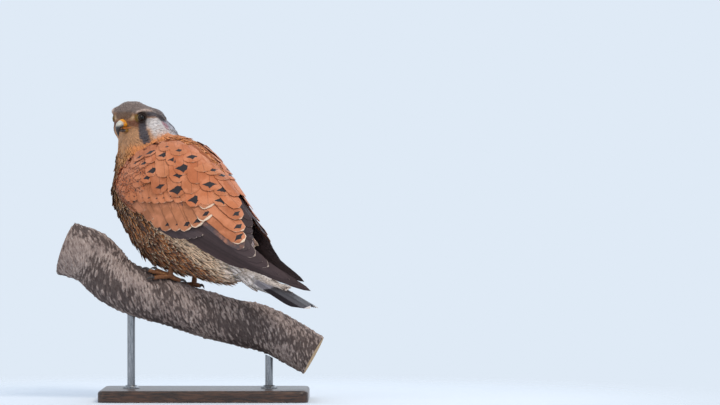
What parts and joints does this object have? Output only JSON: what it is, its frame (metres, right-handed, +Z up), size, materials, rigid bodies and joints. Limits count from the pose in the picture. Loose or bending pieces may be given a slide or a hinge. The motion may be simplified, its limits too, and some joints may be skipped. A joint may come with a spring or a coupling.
{
  "type": "perched male common kestrel on a display stand",
  "caption": "Life-size still model of a perched male common kestrel, gripping a cut length of branch held over a flat display base.",
  "frame": {"origin": "centre of the base's underside, on the floor", "axes": "+Z up, +X along the branch towards its low end and the bird's tail, -Y towards the bird's left side, which faces the picture's camera"},
  "size_m": [0.2758, 0.1507, 0.3074],
  "materials": {
    "plumage_body": "soft feathers, buff with dark streaks below and rufous on the mantle",
    "plumage_head": "short soft feathers, grey-brown with pale cheek and dark moustache",
    "plumage_wing": "firm feathers, rufous with black spots, dark brown flight feathers",
    "plumage_tail": "firm grey feathers with a black band before a pale tip",
    "bare_skin": "waxy yellow skin, scaled on the feet",
    "bill_horn": "smooth blue-grey horn with a dark tip",
    "eye": "wet dark brown",
    "claw_horn": "smooth black horn",
    "bark": "rough grey-brown bark with pale fissures, cut ends bare",
    "base_wood": "dark satin-varnished hardwood",
    "rod_steel": "satin"
  },
  "bodies": {
    "root": {"torso": "plumage_body", "neck": "plumage_body", "head": "plumage_head", "cere": "bare_skin", "bill_upper": "bill_horn", "bill_lower": "bill_horn", "eye_left": "eye", "eye_right": "eye", "wing_left": "plumage_wing", "wing_right": "plumage_wing", "tail": "plumage_tail", "leg_left": "bare_skin", "leg_right": "bare_skin", "claw_left_inner": "claw_horn", "claw_left_middle": "claw_horn", "claw_left_outer": "claw_horn", "claw_left_hind": "claw_horn", "claw_right_inner": "claw_horn", "claw_right_middle": "claw_horn", "claw_right_outer": "claw_horn", "claw_right_hind": "claw_horn", "perch_branch": "bark", "stand_base": "base_wood", "stand_rod_left": "rod_steel", "stand_rod_right": "rod_steel"}
  },
  "joints": []
}
